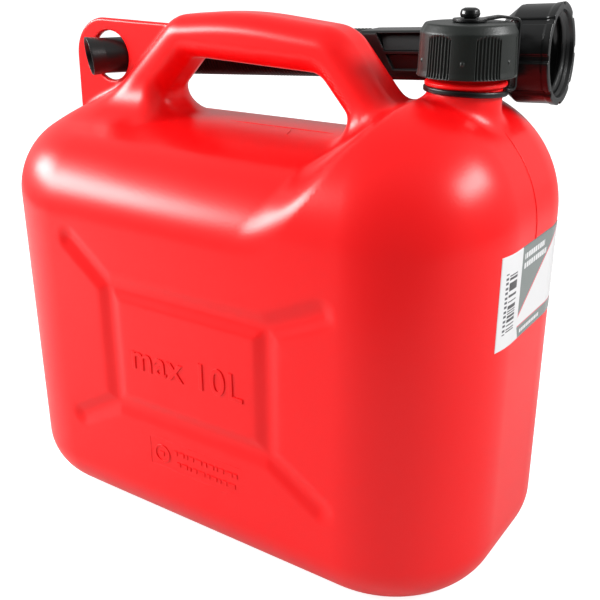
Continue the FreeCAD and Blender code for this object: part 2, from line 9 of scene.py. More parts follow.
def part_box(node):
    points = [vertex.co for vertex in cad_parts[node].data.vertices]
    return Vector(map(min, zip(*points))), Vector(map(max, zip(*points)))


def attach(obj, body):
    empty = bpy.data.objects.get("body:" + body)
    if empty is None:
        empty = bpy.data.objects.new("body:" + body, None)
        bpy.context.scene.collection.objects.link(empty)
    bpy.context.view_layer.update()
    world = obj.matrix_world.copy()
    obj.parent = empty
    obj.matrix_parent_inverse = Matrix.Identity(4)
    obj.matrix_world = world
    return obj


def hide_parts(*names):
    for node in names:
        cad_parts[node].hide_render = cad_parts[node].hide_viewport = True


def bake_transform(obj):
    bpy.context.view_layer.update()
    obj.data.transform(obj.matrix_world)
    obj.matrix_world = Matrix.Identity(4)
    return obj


bl_info = {
    "name": "Fuel can with stowed spout",
    "version": (1, 0, 0),
    "blender": (4, 5, 0),
    "location": "3D View > Sidebar > Fuel can",
    "description": "Builds the visible surfaces of a moulded fuel can, its cap, leash, spout and label",
    "category": "Object",
}

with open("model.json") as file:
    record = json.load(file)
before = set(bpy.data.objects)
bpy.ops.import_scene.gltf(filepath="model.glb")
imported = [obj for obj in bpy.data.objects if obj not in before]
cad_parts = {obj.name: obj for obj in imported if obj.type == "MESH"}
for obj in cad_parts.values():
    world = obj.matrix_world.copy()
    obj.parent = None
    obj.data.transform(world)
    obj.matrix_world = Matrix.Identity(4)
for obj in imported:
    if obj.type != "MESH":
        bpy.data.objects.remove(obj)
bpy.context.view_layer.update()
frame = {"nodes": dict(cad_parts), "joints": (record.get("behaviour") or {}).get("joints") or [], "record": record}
MM = 0.001
JOINTS = {joint["name"]: joint for joint in frame["joints"]}
MOUNTS = {mount["name"]: mount for mount in frame["record"]["mounts"]}


def box_mm(node):
    """The lowest and highest corner of a fixed piece, in millimetres."""
    low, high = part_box(node)
    return low / MM, high / MM


# Places read from the fixed frame, in millimetres.
TANK_LOW, TANK_HIGH = box_mm("tank_shell")
CAP_LOW, CAP_HIGH = box_mm("cap_shell")
LABEL_LOW, LABEL_HIGH = box_mm("label")
BUTTON_LOW, BUTTON_HIGH = box_mm("leash_button")
LEASH_LOW = box_mm("leash")[0]
LEASH_AZIMUTH = 52.0
CAP_AXIS = Vector(JOINTS["cap_turn"]["pos_m"]) / MM
SPOUT_MOUTH = Vector(JOINTS["nut_spin"]["pos_m"]) / MM
SPOUT_AXIS = Vector(JOINTS["nut_spin"]["axis"]).normalized()
NOZZLE_AXIS = Vector(MOUNTS["nozzle_mouth"]["axis"]).normalized()
MOUNT_INSET = 20.0      # of the nozzle's mount, behind the nozzle's tip
NOZZLE_TIP = Vector(MOUNTS["nozzle_mouth"]["pos_m"]) / MM + NOZZLE_AXIS * MOUNT_INSET
NOZZLE_REACH = 16.0     # of the tip, in front of the stowage hole's centre
NOZZLE_LENGTH = 43.6    # with the spigot that sits in the hose

# The hose, in millimetres.
HOSE_RADIUS = 13.5
HOSE_BORE_RADIUS = 9.6
HOSE_BEND = 45.0
HOSE_LINE_Y = 36.0      # where its two straight runs would meet, behind the handle
HOSE_FRONT = 18.0       # its front end, behind the stowage hole's centre
HOSE_BACK = 107.6       # its rear end, behind the nut's mouth

# The thread that the neck and the nut share, in millimetres.
THREAD_PITCH = 5.0
THREAD_TURNS = 1.5

MAX_SKIN_QUADS = 98000

# The body's outline, in millimetres.
HALF_LENGTH = TANK_HIGH.x
HALF_WIDTH = TANK_HIGH.y
CORNER = 63.0
SHOULDER = 233.5
DOME = 260.5
NECK_X = CAP_AXIS.x
STOW_HOLE = (-120.5, 264.8, 14.7)
HANDLE_OUTER = [(-142, 217, 15), (-60, 291.5, 22), (-13, 295.2, 260), (50, 289, 24), (76, 258.5, 40), (112, 229, 15),
                (92, 171, 15), (-108, 171, 15)]
HANDLE_OPENING = [(-50, 269, 8), (38, 265.5, 14), (57, 244, 10), (57, 201, 5), (-53, 201, 5), (-53, 222, 14),
                  (-75.5, 243, 12)]
FLANGE = [(-151, 206, 4), (-149, 287.5, 24), (-58, 285.5, 4), (-88, 206, 4)]
PANEL = [(-53, 80), (55, 80), (55, 153), (-53, 153)]
PANEL_ARMS = [(-84, 62.5), (87.5, 60), (87, 168), (-81, 175)]


# ---------------------------------------------------------------- sizes and colours a user may change

class CanSizes(bpy.types.PropertyGroup):
    """Sizes of the moulded details, which the fixed frame leaves open."""

    grid: bpy.props.FloatProperty(
        name="Skin grid", description="Spacing of the points that the can's skin is drawn from",
        default=0.0022, min=0.0015, max=0.006, unit="LENGTH")
    groove_depth: bpy.props.FloatProperty(
        name="Groove depth", description="How far the side panel's grooves sink into the wall",
        default=0.0020, unit="LENGTH")
    groove_width: bpy.props.FloatProperty(
        name="Groove width", description="Width of a side panel groove between its two soft edges",
        default=0.0185, unit="LENGTH")
    hose_pitch: bpy.props.FloatProperty(
        name="Hose pitch", description="Distance from one corrugation of the hose to the next",
        default=0.00225, unit="LENGTH")
    hose_relief: bpy.props.FloatProperty(
        name="Hose relief", description="Height of a corrugation, from its valley to its crest",
        default=0.0021, unit="LENGTH")


class CanColours(bpy.types.PropertyGroup):
    """Colours of the can's plastics and its label."""

    tank: bpy.props.FloatVectorProperty(
        name="Tank red", description="Colour of the blow-moulded tank", subtype="COLOR",
        default=(0.92, 0.0035, 0.005))
    cap: bpy.props.FloatVectorProperty(
        name="Cap", description="Colour of the screw cap", subtype="COLOR",
        default=(0.008, 0.011, 0.009))
    black: bpy.props.FloatVectorProperty(
        name="Black plastic", description="Colour of the spout, nut, hose and leash", subtype="COLOR",
        default=(0.005, 0.0053, 0.0056))
    paper: bpy.props.FloatVectorProperty(
        name="Label white", description="Unprinted colour of the label", subtype="COLOR",
        default=(0.80, 0.80, 0.81))
    ink: bpy.props.FloatVectorProperty(
        name="Label grey", description="Colour of the label's printed field", subtype="COLOR",
        default=(0.16, 0.19, 0.18))


def sizes():
    """The scene's sizes, which a user may change."""
    return bpy.context.scene.can_sizes


def colours():
    """The scene's colours, which a user may change."""
    return bpy.context.scene.can_colours


# ---------------------------------------------------------------- mesh helpers, in millimetres

def add_piece(name, points, faces, material, slot, body, stands_for=(), place=None, normals=None, smooth=True):
    """Makes one mesh from points in millimetres, puts it in place and joins it to a body."""
    points = np.asarray(points, float) * MM
    mesh = bpy.data.meshes.new(name)
    mesh.from_pydata(points.tolist(), [], np.asarray(faces).tolist() if isinstance(faces, np.ndarray) else faces)
    mesh.polygons.foreach_set("use_smooth", [smooth] * len(mesh.polygons))
    mesh.update()
    mesh.validate()
    if normals is not None:
        mesh.normals_split_custom_set_from_vertices(normals.tolist())
    piece = bpy.data.objects.new(name, mesh)
    bpy.context.scene.collection.objects.link(piece)
    if place is not None:
        mesh.transform(place)
    mesh.materials.append(material)
    if body:
        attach(piece, body)
    if stands_for:
        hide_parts(*stands_for)
    return piece


def soften(corners, closed=True, step=0.6):
    """Points along a line through corners (a, b, radius) with each corner rounded."""
    count = len(corners)
    points = []
    for i, (x, y, radius) in enumerate(corners):
        here = np.array((x, y), float)
        if radius <= 0 or (not closed and i in (0, count - 1)):
            points.append(here)
            continue
        before = np.array(corners[i - 1][:2], float) - here
        after = np.array(corners[(i + 1) % count][:2], float) - here
        before /= np.linalg.norm(before)
        after /= np.linalg.norm(after)
        half = math.acos(max(-1.0, min(1.0, float(before @ after)))) / 2
        if half > math.pi / 2 - 0.01:
            points.append(here)
            continue
        middle = before + after
        centre = here + middle / np.linalg.norm(middle) * radius / math.sin(half)
        start = here + before * radius / math.tan(half) - centre
        end = here + after * radius / math.tan(half) - centre
        sweep = math.atan2(start[0] * end[1] - start[1] * end[0], float(start @ end))
        turns = max(3, int(abs(sweep) * radius / step) + 1)
        for k in range(turns + 1):
            a = sweep * k / turns
            points.append(centre + (start[0] * math.cos(a) - start[1] * math.sin(a),
                                    start[0] * math.sin(a) + start[1] * math.cos(a)))
    return np.array(points)


def dense_line(line, step):
    """The same line with points no further apart than step."""
    dense = []
    for a, b in zip(line[:-1], line[1:]):
        count = max(1, int(np.linalg.norm(b - a) / step))
        dense.extend(a + (b - a) * k / count for k in range(count))
    dense.append(line[-1])
    return np.array(dense)


def grid_faces(rows, columns, close_columns=True, close_rows=False):
    """Quads of a grid of points, row by row."""
    r = np.arange(rows if close_rows else rows - 1)
    c = np.arange(columns if close_columns else columns - 1)
    r, c = np.meshgrid(r, c, indexing="ij")
    r, c = r.ravel(), c.ravel()
    r2, c2 = (r + 1) % rows, (c + 1) % columns
    return np.stack([r * columns + c, r * columns + c2, r2 * columns + c2, r2 * columns + c], 1)


def lathe(profile, count, closed=False, relief=None):
    """Points and quads of a profile of (radius, height) turned about Z; relief(angle, height) adds to the radius."""
    profile = np.asarray(profile, float)
    angle = np.arange(count) * 2 * math.pi / count
    radius = np.repeat(profile[:, :1], count, 1)
    height = np.repeat(profile[:, 1:], count, 1)
    angle = np.repeat(angle[None, :], len(profile), 0)
    if relief is not None:
        radius = radius + relief(angle, height, radius)
    points = np.stack([radius * np.cos(angle), radius * np.sin(angle), height], -1).reshape(-1, 3)
    return points, grid_faces(len(profile), count, True, closed)


def merge(*parts):
    """Several (points, quads) as one."""
    points, faces, base = [], [], 0
    for part_points, part_faces in parts:
        points.append(np.asarray(part_points, float))
        faces.append(np.asarray(part_faces) + base)
        base += len(part_points)
    return np.concatenate(points), np.concatenate(faces)


def moved(part, offset):
    """The same points and faces, shifted by an offset."""
    return part[0] + np.array(offset, float), part[1]


def along_spout():
    """The matrix that takes X to the spout's axis, with its origin at the nut's mouth, in metres."""
    turn = Vector((1, 0, 0)).rotation_difference(SPOUT_AXIS).to_matrix().to_4x4()
    return Matrix.Translation(SPOUT_MOUTH * MM) @ turn


def lathe_on_x(part):
    """Turns a lathe about Z into one about X."""
    points = part[0]
    return np.stack([points[:, 2], points[:, 0], points[:, 1]], 1), part[1]


# ---------------------------------------------------------------- signed distance fields, in millimetres

def smooth(t):
    """An S-curve from 0 to 1 that is flat at both ends."""
    t = np.clip(t, 0.0, 1.0)
    return t * t * (3 - 2 * t)


def round_and(a, b, radius):
    """What two solids share, with their common edge rounded."""
    return (np.minimum(np.maximum(a, b) + radius, 0.0)
            + np.hypot(np.maximum(a + radius, 0.0), np.maximum(b + radius, 0.0)) - radius)


def soft_or(a, b, size):
    """Two solids joined with a fillet of about this size."""
    h = np.maximum(size - np.abs(a - b), 0.0) / size
    return np.minimum(a, b) - h * h * size / 4


def segment_distance(x, z, ends):
    """Distance to the nearest of several straight segments."""
    best = np.full(np.shape(x), 1e9)
    for (ax, az), (bx, bz) in ends:
        dx, dz = bx - ax, bz - az
        t = np.clip(((x - ax) * dx + (z - az) * dz) / max(dx * dx + dz * dz, 1e-9), 0, 1)
        best = np.minimum(best, np.hypot(x - ax - t * dx, z - az - t * dz))
    return best


class FlatField:
    """A function of X and Z that is worked out once on a fine grid and then read from it."""

    def __init__(self, low, high, step, function):
        self.low, self.step = low, step
        x = np.arange(low[0], high[0] + step, step)
        z = np.arange(low[1], high[1] + step, step)
        self.values = function(*np.meshgrid(x, z, indexing="ij"))

    def __call__(self, x, z):
        i = np.clip((x - self.low[0]) / self.step, 0, self.values.shape[0] - 1.001)
        k = np.clip((z - self.low[1]) / self.step, 0, self.values.shape[1] - 1.001)
        i0, k0 = i.astype(int), k.astype(int)
        a, b = i - i0, k - k0
        v = self.values
        return ((v[i0, k0] * (1 - a) + v[i0 + 1, k0] * a) * (1 - b)
                + (v[i0, k0 + 1] * (1 - a) + v[i0 + 1, k0 + 1] * a) * b)


def outline_field(corners):
    """Signed distance to a closed outline with rounded corners, negative inside."""
    line = soften(corners, True, 1.0)

    def distance(x, z):
        ends = [(tuple(line[i - 1]), tuple(line[i])) for i in range(len(line))]
        inside = np.zeros(x.shape, bool)
        for (ax, az), (bx, bz) in ends:
            if az != bz:
                inside ^= ((az > z) != (bz > z)) & (x < (bx - ax) * (z - az) / (bz - az) + ax)
        return np.where(inside, -1.0, 1.0) * segment_distance(x, z, ends)

    return FlatField((-190, 150), (150, 310), 0.8, distance)


def surface_net(field, axes):
    """The zero level of a field on a grid of unequal steps, as points and outward quads."""
    values = field(*np.meshgrid(*axes, indexing="ij"))
    inside = values < 0
    shape = [n - 1 for n in inside.shape]

    def corner(array, d):
        return array[tuple(slice(k, k + n) for k, n in zip(d, shape))]

    offsets = [(i, j, k) for i in (0, 1) for j in (0, 1) for k in (0, 1)]
    filled = sum(corner(inside, d).astype(np.int8) for d in offsets)
    active = (filled > 0) & (filled < 8)
    cells = np.argwhere(active)
    number = np.full(shape, -1)
    number[active] = np.arange(len(cells))
    place = {d: np.stack([axes[m][cells[:, m] + d[m]] for m in range(3)], 1) for d in offsets}
    level = {d: values[tuple((cells + d).T)] for d in offsets}
    total, crossings = np.zeros((len(cells), 3)), np.zeros(len(cells))
    for d in offsets:
        for m in range(3):
            if d[m]:
                continue
            e = tuple(v + (n == m) for n, v in enumerate(d))
            cut = (level[d] < 0) != (level[e] < 0)
            t = np.where(cut, level[d] / np.where(cut, level[d] - level[e], 1.0), 0.0)
            total += np.where(cut[:, None], place[d] + t[:, None] * (place[e] - place[d]), 0.0)
            crossings += cut
    faces = []
    for m in range(3):
        b, c = (m + 1) % 3, (m + 2) % 3
        low = [slice(None)] * 3
        high = [slice(None)] * 3
        low[m], high[m] = slice(0, -1), slice(1, None)
        change = inside[tuple(low)].astype(np.int8) - inside[tuple(high)]
        spots = np.argwhere(change != 0)
        spots = spots[(spots[:, b] > 0) & (spots[:, c] > 0) & (spots[:, b] < shape[b]) & (spots[:, c] < shape[c])]
        sign = change[tuple(spots.T)]
        ring = []
        for db, dc in ((-1, -1), (0, -1), (0, 0), (-1, 0)):
            cell = spots.copy()
            cell[:, b] += db
            cell[:, c] += dc
            ring.append(number[tuple(cell.T)])
        ring = np.stack(ring, 1)
        ring[sign < 0] = ring[sign < 0][:, ::-1]
        faces.append(ring)
    return total / crossings[:, None], np.concatenate(faces)


def slope(field, points, step):
    """The field's gradient at each point, from central differences."""
    gradient = np.zeros_like(points)
    for m in range(3):
        ahead, behind = points.copy(), points.copy()
        ahead[:, m] += step
        behind[:, m] -= step
        gradient[:, m] = (field(*ahead.T) - field(*behind.T)) / (2 * step)
    return gradient


def settle(field, points, rounds=3, reach=1.5, step=0.5):
    """Moves points onto the zero level and gives their unit normals."""
    for _ in range(rounds):
        gradient = slope(field, points, step)
        size = np.maximum((gradient ** 2).sum(1), 0.05)
        move = gradient * (field(*points.T) / size)[:, None]
        length = np.linalg.norm(move, axis=1)
        points = points - move * np.minimum(1.0, reach / np.maximum(length, 1e-9))[:, None]
    gradient = slope(field, points, step)
    return points, gradient / np.maximum(np.linalg.norm(gradient, axis=1), 1e-9)[:, None]


def steps(*parts):
    """Grid lines from parts (start, end, spacing)."""
    lines = []
    for start, end, spacing in parts:
        count = max(1, round((end - start) / spacing))
        lines.extend(np.linspace(start, end, count, endpoint=False))
    lines.append(parts[-1][1])
    return np.array(lines)


# ---------------------------------------------------------------- materials

def new_material(name, colour, roughness, specular=0.5, coat=0.0):
    """A plain plastic. Returns the material with its node tree and main shader."""
    material = bpy.data.materials.new(name)
    material.use_nodes = True
    shader = material.node_tree.nodes["Principled BSDF"]
    shader.inputs["Base Color"].default_value = (*colour, 1.0)
    shader.inputs["Roughness"].default_value = roughness
    shader.inputs["Specular IOR Level"].default_value = specular
    shader.inputs["Coat Weight"].default_value = coat
    return material, material.node_tree, shader


def add_node(tree, kind, **settings):
    """A new node with its settings filled in."""
    node = tree.nodes.new(kind)
    for key, value in settings.items():
        setattr(node, key, value)
    return node


def add_grain(tree, shader, scale, strength, distance, stretch=(1.0, 1.0, 1.0), detail=3.0):
    """A faint surface unevenness from noise, in metres."""
    place = add_node(tree, "ShaderNodeTexCoord")
    scaled = add_node(tree, "ShaderNodeMapping")
    scaled.inputs["Scale"].default_value = stretch
    noise = add_node(tree, "ShaderNodeTexNoise")
    noise.inputs["Scale"].default_value = scale
    noise.inputs["Detail"].default_value = detail
    bump = add_node(tree, "ShaderNodeBump")
    bump.inputs["Strength"].default_value = strength
    bump.inputs["Distance"].default_value = distance
    tree.links.new(place.outputs["Object"], scaled.inputs["Vector"])
    tree.links.new(scaled.outputs["Vector"], noise.inputs["Vector"])
    tree.links.new(noise.outputs["Fac"], bump.inputs["Height"])
    tree.links.new(bump.outputs["Normal"], shader.inputs["Normal"])
    return noise, bump


def vary_roughness(tree, shader, low, high, scale):
    """Roughness that wanders between two values."""
    noise = add_node(tree, "ShaderNodeTexNoise")
    noise.inputs["Scale"].default_value = scale
    noise.inputs["Detail"].default_value = 4.0
    spread = add_node(tree, "ShaderNodeMapRange")
    spread.inputs["From Min"].default_value = 0.1
    spread.inputs["From Max"].default_value = 0.9
    spread.inputs["To Min"].default_value = low
    spread.inputs["To Max"].default_value = high
    place = add_node(tree, "ShaderNodeTexCoord")
    tree.links.new(place.outputs["Object"], noise.inputs["Vector"])
    tree.links.new(noise.outputs["Fac"], spread.inputs["Value"])
    tree.links.new(spread.outputs["Result"], shader.inputs["Roughness"])


def tank_material():
    """Satin red plastic with a faint grain."""
    material, tree, shader = new_material("tank_finish", colours().tank, 0.30, 0.36)
    shader.inputs["Subsurface Weight"].default_value = 0.10
    shader.inputs["Subsurface Radius"].default_value = (1.0, 0.10, 0.08)
    shader.inputs["Subsurface Scale"].default_value = 0.004
    add_grain(tree, shader, 900.0, 0.10, 0.0004)
    vary_roughness(tree, shader, 0.27, 0.33, 14.0)
    return material


def worn_edges(tree, shader, colour, edge_colour, low, high):
    """Mixes in a paler tone where a surface is sharply convex."""
    geometry = add_node(tree, "ShaderNodeNewGeometry")
    spread = add_node(tree, "ShaderNodeMapRange")
    spread.inputs["From Min"].default_value = low
    spread.inputs["From Max"].default_value = high
    mix = add_node(tree, "ShaderNodeMix", data_type="RGBA")
    mix.inputs["A"].default_value = (*colour, 1.0)
    mix.inputs["B"].default_value = (*edge_colour, 1.0)
    tree.links.new(geometry.outputs["Pointiness"], spread.inputs["Value"])
    tree.links.new(spread.outputs["Result"], mix.inputs["Factor"])
    tree.links.new(mix.outputs["Result"], shader.inputs["Base Color"])


def black_material(name, roughness, edges=False, colour=None):
    """Black plastic with a faint grain and, where asked for, paler worn edges."""
    colour = colour or tuple(colours().black)
    material, tree, shader = new_material(name, colour, roughness, 0.5)
    add_grain(tree, shader, 700.0, 0.12, 0.0004)
    if edges:
        worn_edges(tree, shader, colour, tuple(c * 6 + 0.02 for c in colour), 0.53, 0.60)
    return material


# ---------------------------------------------------------------- the tank

def tank_field():
    """The can's outer surface below the bead of the neck."""
    outer = outline_field(HANDLE_OUTER)
    opening = outline_field(HANDLE_OPENING)
    flange = outline_field(FLANGE)
    runs = [(PANEL[i - 1], PANEL[i]) for i in range(4)] + list(zip(PANEL, PANEL_ARMS))
    depth, width = sizes().groove_depth / MM, sizes().groove_width / MM
    panel = FlatField((-110, 40), (110, 190), 0.8, lambda x, z: depth * smooth(
        1 - segment_distance(x, z, runs) / (width / 2)))

    def field(x, y, z):
        ax, ay = np.abs(x) - (HALF_LENGTH - CORNER), np.abs(y) - (HALF_WIDTH - CORNER)
        plan = np.hypot(np.maximum(ax, 0), np.maximum(ay, 0)) + np.minimum(np.maximum(ax, ay), 0) - CORNER
        low = round_and(plan, z - (SHOULDER - y * y / 472.0), 32.0)
        dome = round_and(plan, z - DOME, 62.0)
        p = (x - 36.0) * 0.8375 - (z - 190.0) * 0.5465
        body = low + (dome - low) * smooth((p + 4.0) / 22.0)
        body = round_and(body, -z, 31.0)
        body = body + np.where(np.abs(y) > 70.0, panel(x, z), 0.0) * (z < 185)
        grip = np.maximum(outer(x, z), -opening(x, z))
        handle = round_and(grip, np.abs(y) - 17.0, 11.5)
        shape = soft_or(body, handle, 24.0 - 15.0 * smooth((70.0 - np.abs(x + 6.0)) / 18.0))
        hole = STOW_HOLE[2] - np.hypot(x - STOW_HOLE[0], z - STOW_HOLE[1])
        plate = round_and(np.maximum(flange(x, z), hole), np.abs(y) - 2.0, 1.6)
        shape = soft_or(shape, plate, 5.0)
        r = np.hypot(x - NECK_X, y)
        neck = round_and(r - 17.8, z - 264.4, 0.4)
        shape = soft_or(shape, neck, 6.0)
        return shape

    return field


def tank_skin(field):
    """Points, faces and normals of the can's skin, drawn finer at the flange and the handle."""
    grid = sizes().grid / MM
    fine = grid * 0.5
    axes = [
        steps((-161, -141, grid), (-141, -100, fine * 1.1), (-100, 161, grid)),
        steps((-88, -4, grid), (-4, 4, fine), (4, 88, grid)),
        steps((-4, 246, grid), (246, 284, fine * 1.1), (284, 298, grid)),
    ]
    points, faces = surface_net(field, axes)
    points, normals = settle(field, points)
    points[:, 2] = np.maximum(points[:, 2], 0.0)
    return points, faces, normals


def neck_parts():
    """The upper neck with its bead, thread and bore."""
    profile = soften([
        (17.6, 262.0, 0), (17.6, 264.6, 0), (19.2, 265.2, 0.3), (19.8, 265.9, 0.5), (19.8, 266.9, 0.5),
        (19.0, 267.7, 0.3), (17.2, 268.6, 0.8), (17.2, 288.0, 0.8), (14.5, 288.0, 0.8), (14.5, 243.0, 0),
    ], False, 0.3)
    start = 278.0

    def thread(angle, height, radius):
        total = np.zeros_like(angle)
        for k in range(3):
            along = angle / (2 * math.pi) + k
            centre = start + THREAD_PITCH * along
            fade = smooth(along / 0.12) * smooth((THREAD_TURNS - along) / 0.12)
            total = np.maximum(total, 1.5 * fade * smooth(1.6 - np.abs(height - centre) / 1.3))
        return np.where((radius > 17.0) & (height > 269.0) & (height < 287.5), total, 0.0)

    return moved(lathe(dense_line(profile, 0.5), 128, relief=thread), (NECK_X, 0, 0))


def text_mesh(text, height, width, depth, name):
    """Raised letters as a mesh of points and faces, standing on the X-Z plane and facing -Y, in millimetres."""
    curve = bpy.data.curves.new(name, "FONT")
    curve.body = text
    curve.size = height
    curve.extrude = depth / 2
    curve.bevel_depth = depth * 0.28
    curve.bevel_resolution = 1
    curve.resolution_u = 4
    curve.space_character = 1.08
    holder = bpy.data.objects.new(name, curve)
    bpy.context.scene.collection.objects.link(holder)
    bpy.context.view_layer.update()
    mesh = bpy.data.meshes.new_from_object(holder.evaluated_get(bpy.context.evaluated_depsgraph_get()))
    bpy.data.objects.remove(holder)
    points = np.array([v.co for v in mesh.vertices], float)
    faces = [list(p.vertices) for p in mesh.polygons]
    span = points[:, 0].max() - points[:, 0].min()
    points[:, 0] = (points[:, 0] - points[:, 0].min()) * width / span
    points = np.stack([points[:, 0], -points[:, 2], points[:, 1]], 1)
    return points, faces


def on_skin(field, inside, toward):
    """Where a straight line from a point inside meets the skin."""
    near, far = 0.0, 200.0
    for _ in range(40):
        half = (near + far) / 2
        value = field(*[np.array([a + b * half]) for a, b in zip(inside, toward)])[0]
        near, far = (half, far) if value < 0 else (near, half)
    return np.array(inside) + np.array(toward) * near


def small_ridge(path, radius):
    """A fine raised line along points on the skin."""
    path = dense_line(np.asarray(path, float), 2.0)
    angle = np.arange(8) * math.pi / 4
    ring = np.stack([np.cos(angle), np.sin(angle)], 1) * radius
    taper = np.minimum(1.0, np.minimum(np.arange(len(path)), np.arange(len(path))[::-1]) / 3.0 + 0.05)
    ahead = np.gradient(path, axis=0)
    ahead /= np.linalg.norm(ahead, axis=1)[:, None]
    side = np.cross(ahead, np.where(np.abs(ahead[:, 1:2]) > 0.8, (1.0, 0, 0), (0, 1.0, 0)))
    side /= np.linalg.norm(side, axis=1)[:, None]
    up = np.cross(side, ahead)
    around = side[:, None, :] * ring[None, :, :1] + up[:, None, :] * ring[None, :, 1:]
    rows = path[:, None, :] + around * taper[:, None, None]
    return rows.reshape(-1, 3), grid_faces(len(path), 8)


def seam_parts(field):
    """The mould's parting line on the dome and the shoulder, and two small creases."""
    dome = [on_skin(field, (96.0, 0.0, 199.0), (math.cos(a), 0.0, math.sin(a)))
            for a in np.radians(np.linspace(49.0, -12.0, 26))]
    crest = [on_skin(field, (x, 0.0, 200.0), (0.0, 0.0, 1.0)) for x in np.linspace(-30.0, 42.0, 16)]
    scar = [on_skin(field, (x, y, 200.0), (0.0, 0.0, 1.0)) for x, y in ((12, 2), (17, -6), (20, -14), (24, -17))]
    crease = [(-143.0, -1.9, 229.0), (-137.0, -2.1, 231.0), (-131.0, -2.2, 231.5), (-127.0, -2.2, 235.0)]
    lines = ((dome, 0.32), (crest, 0.30), (scar, 0.45), (crease, 0.55))
    return merge(*(small_ridge(line, radius) for line, radius in lines))


def block(x0, x1, z0, z1, depth):
    """A low raised block on the front wall with slanted sides."""
    wall = TANK_LOW.y
    points = [(x, wall + 0.1, z) for x, z in ((x0, z0), (x1, z0), (x1, z1), (x0, z1))]
    inset = 0.25
    points += [(x, wall - depth, z) for x, z in ((x0 + inset, z0 + inset), (x1 - inset, z0 + inset),
                                                 (x1 - inset, z1 - inset), (x0 + inset, z1 - inset))]
    return np.array(points), np.array([(4, 5, 6, 7), (0, 1, 5, 4), (1, 2, 6, 5), (2, 3, 7, 6), (3, 0, 4, 7)])


def small_marks():
    """A plain ring and two rows of dashes in a thin frame, low on the front wall."""
    parts = [block(-29.0, 36.0, 47.4, 47.9, 0.25), block(-29.0, 36.0, 65.6, 66.1, 0.25),
             block(-29.0, -28.5, 47.4, 66.1, 0.25)]
    for level, start in ((58.6, -11.0), (51.6, -9.0)):
        x, k = start, 0
        while x < 33.0:
            long = (2.6, 4.2, 1.8, 3.4, 5.0)[k % 5]
            parts.append(block(x, min(x + long, 35.0), level, level + 3.0, 0.5))
            x, k = x + long + 0.9, k + 1
    ring = lathe(soften([(4.6, -0.5, 0.2), (5.8, -0.5, 0.2), (5.8, 0.5, 0.2), (4.6, 0.5, 0.2)], True, 0.2), 48, True)
    points = np.stack([ring[0][:, 0] - 20.0, TANK_LOW.y + ring[0][:, 2], ring[0][:, 1] + 56.5], 1)
    parts.append((points, ring[1][:, ::-1]))
    parts.append(block(-21.6, -18.4, 55.0, 58.0, 0.5))
    return merge(*parts)


class OBJECT_OT_can_tank(bpy.types.Operator):
    """Build the moulded tank: body, handle, flange, neck and the raised marks on its side"""

    bl_idname = "object.can_tank"
    bl_label = "Tank"

    def execute(self, context):
        material = tank_material()
        field = tank_field()
        points, faces, normals = tank_skin(field)
        if len(faces) > MAX_SKIN_QUADS:
            raise RuntimeError("the skin grid is too fine: the skin has too many quads")
        print("skin quads", len(faces))
        add_piece("tank_skin", points, faces, material, "tank_plastic", "can", ["tank_shell"], normals=normals)
        points, faces = neck_parts()
        add_piece("tank_neck", points, faces, material, "tank_plastic", "can")
        points, faces = text_mesh("max 10L", 22.0, 78.0, 1.1, "capacity")
        points += (-38.0, TANK_LOW.y + 0.2, 107.0)
        add_piece("capacity_mark", points, faces, material, "tank_plastic", "can", smooth=False)
        add_piece("small_marks", *small_marks(), material, "tank_plastic", "can", smooth=False)
        add_piece("seam_lines", *seam_parts(field), material, "tank_plastic", "can")
        return {"FINISHED"}


# ---------------------------------------------------------------- the cap and its leash

def cap_relief(angle, height, radius):
    """Six sunk fields of ribs with plain fields between them, each with a small dot."""
    degrees = np.degrees(angle)
    off = (degrees + 101.5 + 30.0) % 60.0 - 30.0
    side = (radius > 21.0) & (height > CAP_LOW.z + 0.3)
    top = CAP_HIGH.z - 4.3 - 1.6 * (off / 15.5) ** 2
    field = smooth((15.6 - np.abs(off)) / 0.9) * smooth((top - height) / 0.7)
    rib = np.abs((off + 2.15) % 4.3 - 2.15)
    ribs = np.where(np.abs(off) < 15.0, smooth((1.25 - rib) / 0.8), 0.0)
    relief = -0.95 * field + 0.80 * ribs * field
    plain = (degrees + 71.5 + 30.0) % 60.0 - 30.0
    dot = np.hypot(plain * 0.41, height - 277.5)
    relief = relief + 0.45 * smooth((1.1 - dot) / 0.5)
    return np.where(side, relief, 0.0)


def cap_points():
    """The ribbed cap with its bore."""
    low, top = CAP_LOW.z, CAP_HIGH.z
    profile = soften([
        (0.0, 289.7, 0), (19.1, 289.7, 0.3), (19.1, low, 0.4), (23.9, low, 0.5), (23.45, low + 3.0, 1.5),
        (22.9, top - 3.9, 2.2), (20.8, top, 1.3), (0.0, top, 0),
    ], False, 0.35)
    dense = [profile[0]]
    for a, b in zip(profile[:-1], profile[1:]):
        step = 0.5 if min(a[0], b[0]) > 20.5 else 4.0
        count = max(1, int(np.linalg.norm(b - a) / step))
        dense.extend(a + (b - a) * k / count for k in range(1, count + 1))
    dense = np.array(dense)
    dense[:, 0] = np.maximum(dense[:, 0], 0.01)
    return moved(lathe(dense, 900, relief=cap_relief), (NECK_X, 0, 0))


def sweep(path, side, shape):
    """A section (across, up) carried along a path with a fixed sideways direction."""
    path = np.asarray(path, float)
    ahead = np.gradient(path, axis=0)
    ahead /= np.linalg.norm(ahead, axis=1)[:, None]
    up = np.cross(ahead, side)
    rows = path[:, None, :] + shape[None, :, :1] * np.asarray(side)[None, None, :]
    rows = rows + shape[None, :, 1:] * up[:, None, :]
    points = rows.reshape(-1, 3)
    faces = grid_faces(len(path), len(shape))
    return points, faces


